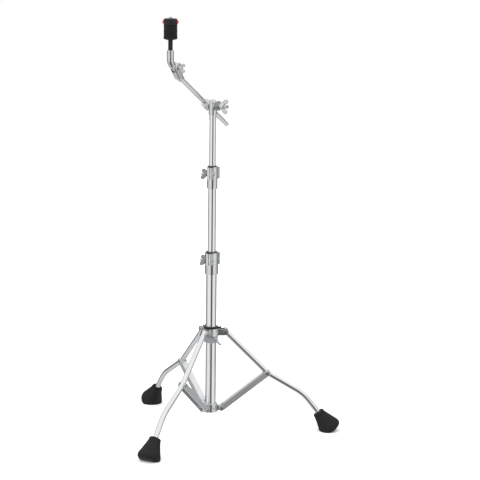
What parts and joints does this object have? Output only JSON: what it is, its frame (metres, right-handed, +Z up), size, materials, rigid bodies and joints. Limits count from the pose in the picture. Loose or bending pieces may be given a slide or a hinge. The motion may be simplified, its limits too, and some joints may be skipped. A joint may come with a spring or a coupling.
{
  "type": "cymbal boom stand",
  "caption": "Chrome tripod stand with double-braced spreading legs, telescoping tubes, a tilting boom and a felt-padded cymbal stem with a quick-release nut.",
  "frame": {"origin": "on the floor, on the axis of the vertical tubes, midway between the three rubber feet", "axes": "+Z up along the tubes, +X to the viewer's right along the right leg, +Y away from the viewer"},
  "size_m": [0.4909, 0.5482, 0.9972],
  "materials": {
    "chrome_tube": "polished chrome plate on steel tube",
    "chrome_cast": "polished chrome plate on cast metal",
    "steel_hardware": "bright plated steel",
    "black_rubber": "matt black rubber with a soft sheen",
    "black_nylon": "satin black nylon",
    "grey_nylon": "satin grey nylon",
    "black_felt": "pressed black felt",
    "red_plastic": "red moulded plastic"
  },
  "bodies": {
    "stand_base": {"lower_tube": "chrome_tube", "lower_tube_plug": "black_nylon", "lower_clamp_casting": "chrome_cast", "lower_clamp_jaw": "chrome_cast", "lower_clamp_hinge_pin": "steel_hardware", "lower_clamp_bolt": "steel_hardware", "lower_clamp_bush": "black_nylon", "bottom_hub": "chrome_cast", "hub_rivets": "steel_hardware", "hub_screws": "steel_hardware"},
    "lower_wing": {"lower_clamp_wing_nut": "chrome_cast"},
    "collar": {"leg_collar": "chrome_cast", "collar_rivets": "steel_hardware", "collar_bush": "black_nylon", "collar_band": "grey_nylon"},
    "collar_screw": {"collar_wing_screw": "chrome_cast"},
    "brace_right_body": {"brace_right": "chrome_tube", "knee_rivet_right": "steel_hardware"},
    "leg_right_body": {"leg_right": "chrome_tube", "boot_right": "black_rubber"},
    "brace_back_left_body": {"brace_back_left": "chrome_tube", "knee_rivet_back_left": "steel_hardware"},
    "leg_back_left_body": {"leg_back_left": "chrome_tube", "boot_back_left": "black_rubber"},
    "brace_front_left_body": {"brace_front_left": "chrome_tube", "knee_rivet_front_left": "steel_hardware"},
    "leg_front_left_body": {"leg_front_left": "chrome_tube", "boot_front_left": "black_rubber"},
    "middle_section": {"middle_tube": "chrome_tube"},
    "upper_clamp": {"upper_clamp_casting": "chrome_cast", "upper_clamp_jaw": "chrome_cast", "upper_clamp_hinge_pin": "steel_hardware", "upper_clamp_bolt": "steel_hardware", "upper_clamp_bush": "black_nylon"},
    "upper_wing": {"upper_clamp_wing_nut": "chrome_cast"},
    "upper_section": {"upper_tube": "chrome_tube"},
    "tilter": {"tilter_head": "chrome_cast", "tilt_washer": "chrome_cast"},
    "boom_holder": {"boom_clamp": "chrome_cast", "tilt_bolt": "steel_hardware"},
    "tilt_wing": {"tilt_wing_nut": "chrome_cast"},
    "boom": {"boom_rod": "chrome_tube"},
    "elbow_base": {"elbow_holder": "chrome_cast", "elbow_nut": "steel_hardware"},
    "elbow_wing": {"elbow_wing_bolt": "chrome_cast"},
    "stem": {"elbow_arm": "chrome_cast", "cymbal_stem": "steel_hardware", "stem_sleeve": "black_nylon", "seat_cup": "black_nylon", "lower_felt": "black_felt"},
    "mate": {"cymbal_mate": "black_nylon", "button_springs": "steel_hardware"},
    "felt_above": {"upper_felt": "black_felt"},
    "button_right_body": {"button_right": "red_plastic"},
    "button_left_body": {"button_left": "red_plastic"}
  },
  "joints": [
    {"name": "lower_wing_turn", "type": "hinge", "parent": "stand_base", "child": "lower_wing", "pos_m": [-0.00551, -0.02057, 0.421], "axis": [-0.9659, 0.2588, 0], "range_deg": [0, 540]},
    {"name": "collar_slide", "type": "slide", "parent": "stand_base", "child": "collar", "axis": [0, 0, 1], "range_m": [0, 0.09369]},
    {"name": "collar_screw_turn", "type": "hinge", "parent": "collar", "child": "collar_screw", "pos_m": [0.0106, -0.01696, 0.226], "axis": [0.5299, -0.848, 0], "range_deg": [0, 540]},
    {"name": "brace_right_swing", "type": "hinge", "parent": "stand_base", "child": "brace_right_body", "pos_m": [0.02698, 0.00094, 0.057], "axis": [0.0349, -0.9994, 0], "range_deg": [-1, 46.17]},
    {"name": "leg_right_swing", "type": "hinge", "parent": "brace_right_body", "child": "leg_right_body", "pos_m": [0.13592, 0.00475, 0.143], "axis": [0.0349, -0.9994, 0], "range_deg": [-88.17, 1]},
    {"name": "brace_back_left_swing", "type": "hinge", "parent": "stand_base", "child": "brace_back_left_body", "pos_m": [-0.01431, 0.0229, 0.057], "axis": [0.848, 0.5299, 0], "range_deg": [-1, 46.17]},
    {"name": "leg_back_left_swing", "type": "hinge", "parent": "brace_back_left_body", "child": "leg_back_left_body", "pos_m": [-0.07207, 0.11533, 0.143], "axis": [0.848, 0.5299, 0], "range_deg": [-88.17, 1]},
    {"name": "brace_front_left_swing", "type": "hinge", "parent": "stand_base", "child": "brace_front_left_body", "pos_m": [-0.01268, -0.02384, 0.057], "axis": [-0.8829, 0.4695, 0], "range_deg": [-1, 46.17]},
    {"name": "leg_front_left_swing", "type": "hinge", "parent": "brace_front_left_body", "child": "leg_front_left_body", "pos_m": [-0.06385, -0.12008, 0.143], "axis": [-0.8829, 0.4695, 0], "range_deg": [-88.17, 1]},
    {"name": "middle_tube_slide", "type": "slide", "parent": "stand_base", "child": "middle_section", "axis": [0, 0, 1], "range_m": [-0.145, 0.13]},
    {"name": "middle_tube_swivel", "type": "hinge", "parent": "middle_section", "child": "upper_clamp", "pos_m": [0, 0, 0.5895], "axis": [0, 0, 1], "continuous": true},
    {"name": "upper_wing_turn", "type": "hinge", "parent": "upper_clamp", "child": "upper_wing", "pos_m": [-0.0047, -0.01753, 0.626], "axis": [-0.9659, 0.2588, 0], "range_deg": [0, 540]},
    {"name": "upper_tube_slide", "type": "slide", "parent": "upper_clamp", "child": "upper_section", "axis": [0, 0, 1], "range_m": [-0.115, 0.17]},
    {"name": "upper_tube_swivel", "type": "hinge", "parent": "upper_section", "child": "tilter", "pos_m": [0, 0, 0.786], "axis": [0, 0, 1], "continuous": true},
    {"name": "boom_tilt", "type": "hinge", "parent": "tilter", "child": "boom_holder", "pos_m": [0, 0, 0.786], "axis": [-0.7771, 0.6293, 0], "range_deg": [-66, 54]},
    {"name": "tilt_wing_turn", "type": "hinge", "parent": "boom_holder", "child": "tilt_wing", "pos_m": [0, 0, 0.786], "axis": [0.7771, -0.6293, 0], "range_deg": [0, 540]},
    {"name": "boom_slide", "type": "slide", "parent": "boom_holder", "child": "boom", "axis": [-0.5091, -0.6287, 0.5878], "range_m": [-0.09, 0.07]},
    {"name": "boom_roll", "type": "hinge", "parent": "boom", "child": "elbow_base", "pos_m": [-0.0649, -0.05154, 0.84478], "axis": [-0.5091, -0.6287, 0.5878], "continuous": true},
    {"name": "elbow_tilt", "type": "hinge", "parent": "elbow_base", "child": "stem", "pos_m": [-0.0837, -0.07476, 0.88057], "axis": [-0.7771, 0.6293, 0], "range_deg": [-40, 80]},
    {"name": "elbow_wing_turn", "type": "hinge", "parent": "elbow_base", "child": "elbow_wing", "pos_m": [-0.0837, -0.07476, 0.88057], "axis": [0.7771, -0.6293, 0], "range_deg": [0, 540]},
    {"name": "mate_lift", "type": "slide", "parent": "stem", "child": "mate", "axis": [0, 0, 1], "range_m": [0, 0.055]},
    {"name": "felt_lift", "type": "slide", "parent": "stem", "child": "felt_above", "axis": [0, 0, 1], "range_m": [0, 0.0386]},
    {"name": "button_right_press", "type": "slide", "parent": "mate", "child": "button_right_body", "axis": [-1, 0, 0], "range_m": [0, 0.0025], "stiffness_N_per_m": 600, "springref_m": -0.001},
    {"name": "button_left_press", "type": "slide", "parent": "mate", "child": "button_left_body", "axis": [1, 0, 0], "range_m": [0, 0.0025], "stiffness_N_per_m": 600, "springref_m": -0.001}
  ],
  "couplings": [
    {"joint": "brace_right_swing", "follows": "collar_slide", "rad_per_m": 8.3213},
    {"joint": "leg_right_swing", "follows": "collar_slide", "rad_per_m": -15.959},
    {"joint": "brace_back_left_swing", "follows": "collar_slide", "rad_per_m": 8.3213},
    {"joint": "leg_back_left_swing", "follows": "collar_slide", "rad_per_m": -15.959},
    {"joint": "brace_front_left_swing", "follows": "collar_slide", "rad_per_m": 8.3213},
    {"joint": "leg_front_left_swing", "follows": "collar_slide", "rad_per_m": -15.959},
    {"joint": "felt_lift", "follows": "mate_lift", "ratio": 0.7}
  ]
}
